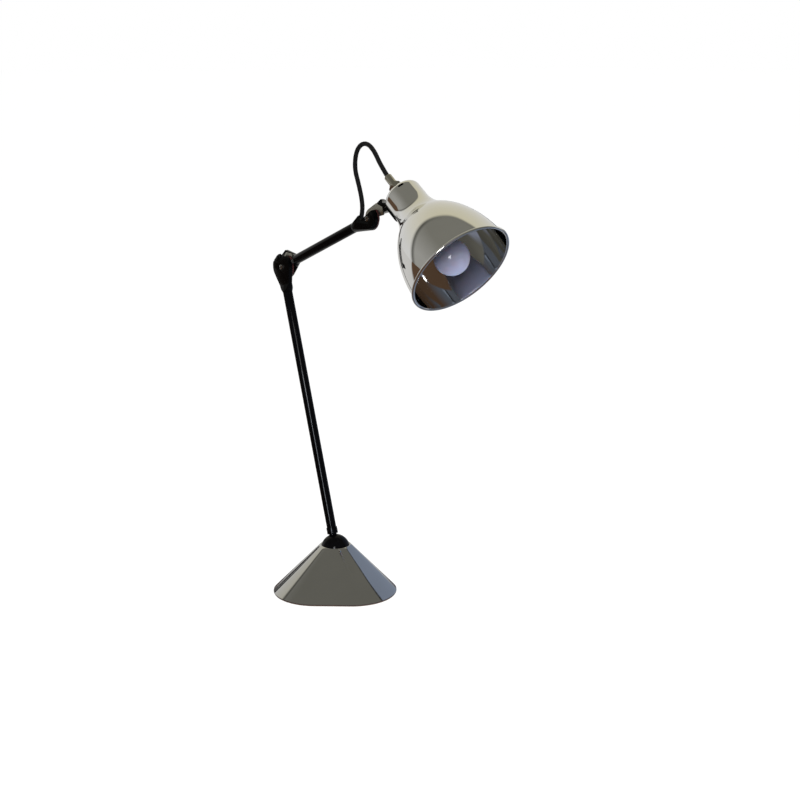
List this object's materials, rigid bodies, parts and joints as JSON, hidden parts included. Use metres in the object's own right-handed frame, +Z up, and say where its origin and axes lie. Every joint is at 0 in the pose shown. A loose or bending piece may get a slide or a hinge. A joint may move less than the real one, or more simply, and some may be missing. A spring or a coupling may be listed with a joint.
{
  "type": "architect lamp",
  "caption": "Desk lamp on a weighted triangular chromed base: ball-jointed lower arm, elbow, upper arm and a tilting chromed bell shade over a globe bulb, with a short cord loop.",
  "frame": {"origin": "middle of the underside of the base, under the ball joint", "axes": "+Z up, +X towards the shade, hinge axes of elbow and head along Y"},
  "size_m": [0.4235, 0.1716, 0.6299],
  "materials": {
    "polished_chrome": "polished",
    "ballast_iron": "matte",
    "base_steel": "satin",
    "base_felt": "matte",
    "plate_screw_steel": "satin",
    "black_rubber": "matte",
    "terminal_plastic": "matte",
    "spring_steel": "satin",
    "cup_plastic": "satin",
    "ball_black": "gloss",
    "arm_black": "gloss",
    "set_screw_steel": "satin",
    "lead_black": "matte",
    "knuckle_black": "gloss",
    "fibre": "matte",
    "screw_steel": "satin",
    "bright_plate": "satin",
    "cord_textile": "matte",
    "shade_chrome": "polished",
    "nickel": "satin",
    "brass_thread": "satin",
    "holder_black": "satin",
    "frosted_glass": "satin",
    "bulb_brass": "satin"
  },
  "bodies": {
    "base": {"base_shell": "polished_chrome", "base_ballast": "ballast_iron", "base_plate": "base_steel", "base_felt": "base_felt", "plate_screws": "plate_screw_steel", "inlet_grommet": "black_rubber", "terminal_block": "terminal_plastic", "pressure_spring": "spring_steel"},
    "pressure_cup": {"pressure_cup": "cup_plastic"},
    "ball": {"ball": "ball_black"},
    "lower_arm": {"collar": "arm_black", "collar_set_screw": "set_screw_steel", "lower_tube": "arm_black", "lower_lead": "lead_black", "lower_knuckle": "knuckle_black", "elbow_washer": "fibre", "elbow_screw": "screw_steel", "elbow_nut": "screw_steel", "elbow_spring_washer": "screw_steel"},
    "upper_arm": {"upper_elbow_knuckle": "knuckle_black", "elbow_friction_plate": "bright_plate", "upper_tube": "arm_black", "upper_lead": "lead_black", "upper_head_knuckle": "knuckle_black", "head_washer": "fibre", "head_screw": "screw_steel", "head_nut": "screw_steel", "head_spring_washer": "screw_steel", "cord_outlet": "black_rubber", "cord_loop": "cord_textile"},
    "head": {"head_bracket": "knuckle_black", "head_friction_plate": "bright_plate", "saddle_screws": "screw_steel", "shade": "shade_chrome", "cap_nut": "nickel", "cord_gland": "nickel", "nipple": "brass_thread", "lamp_washer": "screw_steel", "head_lead": "lead_black", "lampholder": "holder_black", "holder_skirt": "holder_black", "bulb_globe": "frosted_glass", "bulb_cap": "bulb_brass"}
  },
  "joints": [
    {"name": "ball_swivel", "type": "hinge", "parent": "base", "child": "pressure_cup", "pos_m": [0, 0, 0.058], "axis": [0, 0, 1], "range_deg": [-170, 170]},
    {"name": "ball_lean", "type": "hinge", "parent": "pressure_cup", "child": "ball", "pos_m": [0, 0, 0.058], "axis": [0, 1, 0], "range_deg": [-19.1, 50.9]},
    {"name": "arm_twist", "type": "hinge", "parent": "ball", "child": "lower_arm", "pos_m": [0, 0, 0.058], "axis": [-0.274, 0, 0.9617], "range_deg": [-170, 170]},
    {"name": "elbow", "type": "hinge", "parent": "lower_arm", "child": "upper_arm", "pos_m": [-0.11084, 0, 0.44712], "axis": [0, -1, 0], "range_deg": [-40, 90]},
    {"name": "head_tilt", "type": "hinge", "parent": "upper_arm", "child": "head", "pos_m": [0.08116, 0, 0.53168], "axis": [0, -1, 0], "range_deg": [-80, 50], "deforming": ["cord_loop"]}
  ]
}
